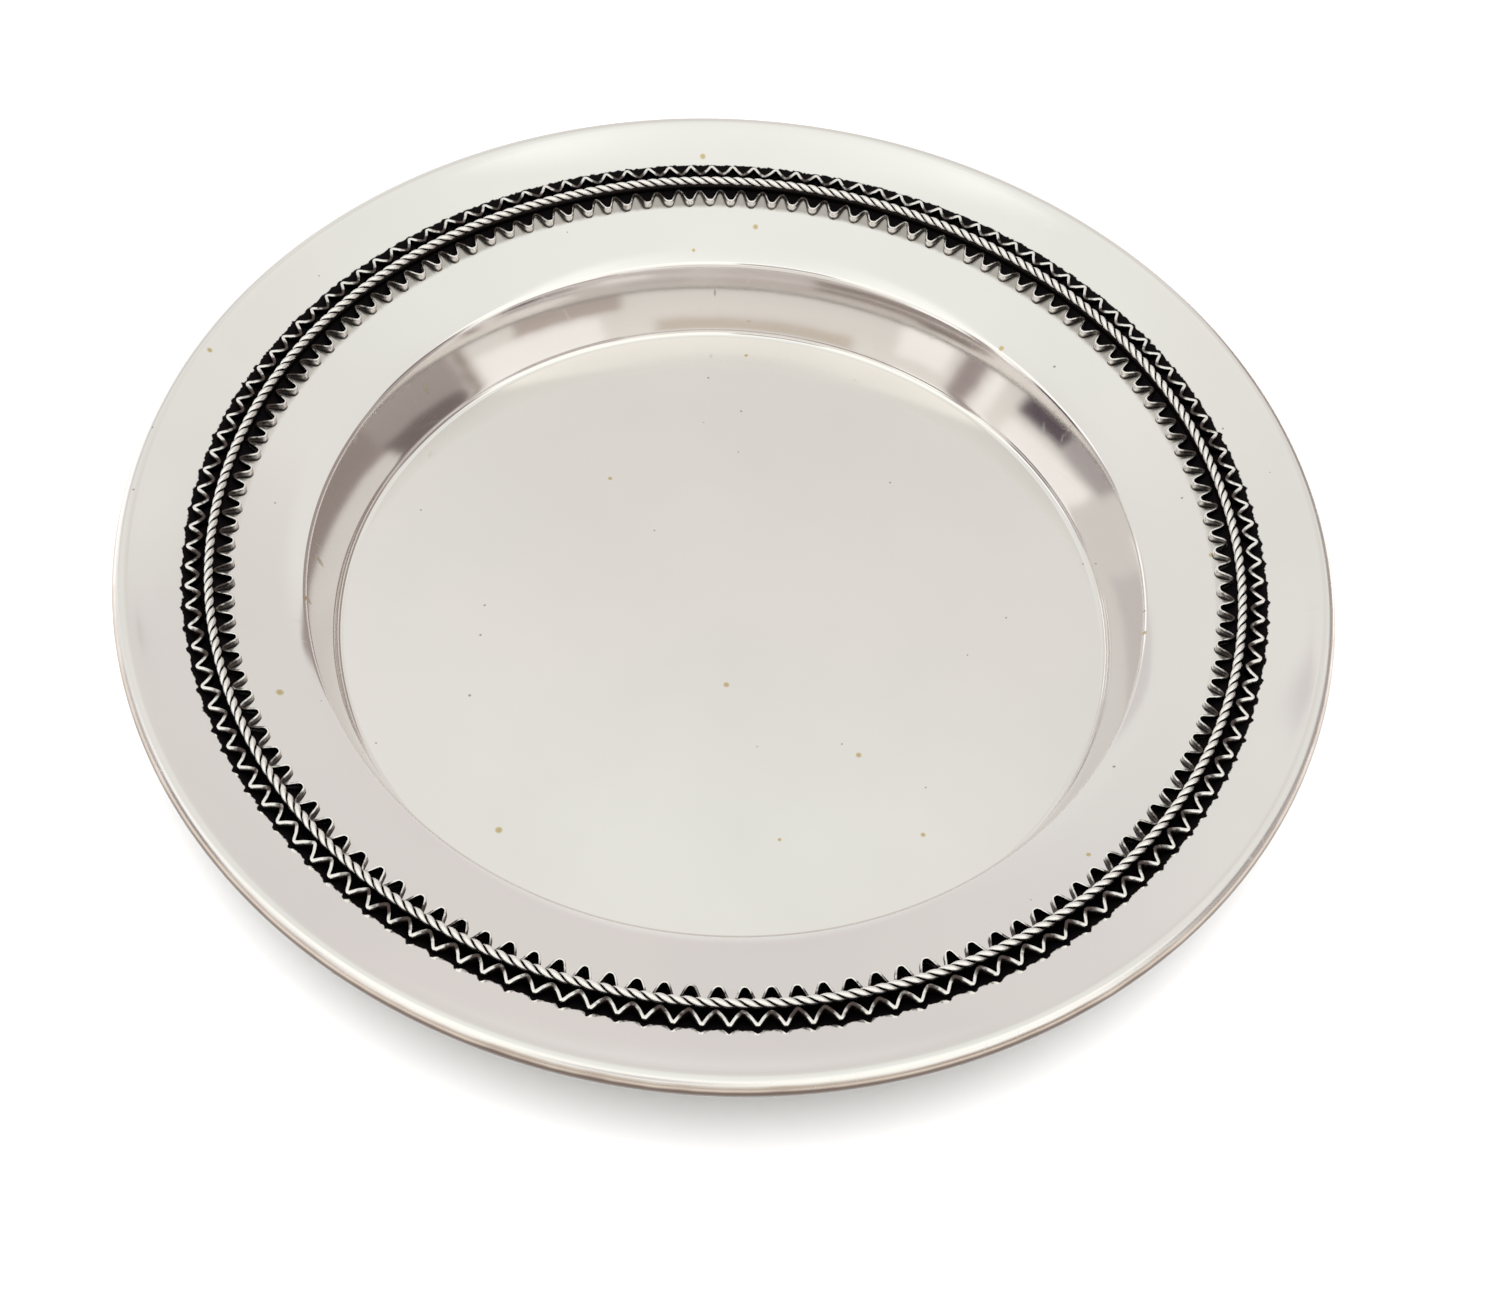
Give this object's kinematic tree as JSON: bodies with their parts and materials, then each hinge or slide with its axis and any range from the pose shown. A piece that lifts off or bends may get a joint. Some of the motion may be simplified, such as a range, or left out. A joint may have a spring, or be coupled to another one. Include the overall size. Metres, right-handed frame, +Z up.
{
  "type": "offering plate",
  "caption": "Round silver offering plate: flat-floored well, wide dished rim with a rolled bead, and a band of filigree ribbon and twisted wire.",
  "frame": {"origin": "centre of the flat underside that the plate rests on", "axes": "+Z up along the plate's axis; +X and +Y across it, +Y towards the far rim"},
  "size_m": [0.15, 0.15, 0.0201],
  "materials": {
    "polished_silver": "polished silver with fine handling scratches and small tarnish specks",
    "filigree_silver": "silver ribbon, bright on its upper edge and blackened on its sides",
    "bright_silver_wire": "bright white silver wire with dark grooves",
    "oxidised_silver": "silver blackened with sulphide patina"
  },
  "bodies": {
    "root": {"plate_body": "polished_silver", "rope_seat_strip": "oxidised_silver", "outer_zigzag_ribbon": "filigree_silver", "inner_zigzag_ribbon": "filigree_silver", "twisted_wire_strand_a": "bright_silver_wire", "twisted_wire_strand_b": "bright_silver_wire"}
  },
  "joints": []
}
